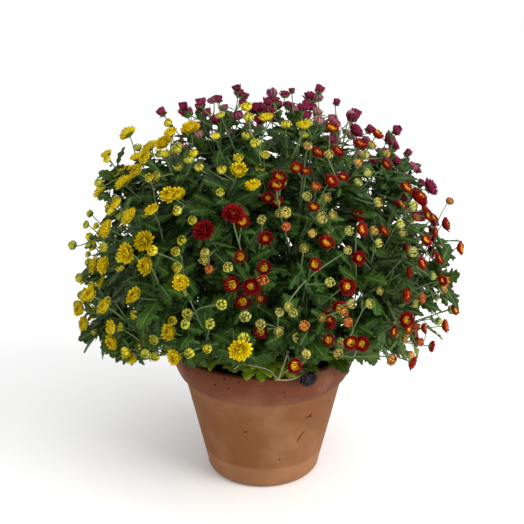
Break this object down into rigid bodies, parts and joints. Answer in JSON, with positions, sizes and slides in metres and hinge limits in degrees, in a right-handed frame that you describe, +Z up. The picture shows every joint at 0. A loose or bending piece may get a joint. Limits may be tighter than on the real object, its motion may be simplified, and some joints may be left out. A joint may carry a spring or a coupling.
{
  "type": "pot chrysanthemum",
  "caption": "Cushion of chrysanthemum stems in three flower colours, with buds, half-open and open heads and lobed leaves, growing in soil in a tapered terracotta pot with a thick rounded rim.",
  "frame": {"origin": "middle of the pot's foot, on the surface that it stands on", "axes": "+Z up along the pot's axis, -Y to the front that the picture shows, +X to the viewer's right"},
  "size_m": [0.4786, 0.4882, 0.4915],
  "materials": {
    "terracotta": "matt unglazed earthenware",
    "potting_soil": "dark moist crumbs",
    "yellow_plant": "matt petals and leaves, yellow heads",
    "red_plant": "matt petals and leaves, dark red heads",
    "purple_plant": "matt petals and leaves, purple heads"
  },
  "bodies": {
    "root": {"pot": "terracotta", "soil": "potting_soil", "stem_purple_01": "purple_plant", "stem_purple_02": "purple_plant", "stem_purple_03": "purple_plant", "stem_purple_04": "purple_plant", "stem_purple_05": "purple_plant", "stem_purple_06": "purple_plant", "stem_purple_07": "purple_plant", "stem_purple_08": "purple_plant", "stem_purple_09": "purple_plant", "stem_purple_10": "purple_plant", "stem_purple_11": "purple_plant", "stem_purple_12": "purple_plant", "stem_purple_13": "purple_plant", "stem_purple_14": "purple_plant", "stem_red_01": "red_plant", "stem_red_02": "red_plant", "stem_red_03": "red_plant", "stem_red_04": "red_plant", "stem_red_05": "red_plant", "stem_red_06": "red_plant", "stem_red_07": "red_plant", "stem_red_08": "red_plant", "stem_red_09": "red_plant", "stem_red_10": "red_plant", "stem_yellow_01": "yellow_plant", "stem_yellow_02": "yellow_plant", "stem_yellow_03": "yellow_plant", "stem_yellow_04": "yellow_plant", "stem_yellow_05": "yellow_plant", "stem_yellow_06": "yellow_plant", "stem_yellow_07": "yellow_plant", "stem_yellow_08": "yellow_plant", "stem_yellow_09": "yellow_plant", "stem_yellow_10": "yellow_plant", "stem_yellow_11": "yellow_plant", "stem_yellow_12": "yellow_plant"}
  },
  "joints": []
}
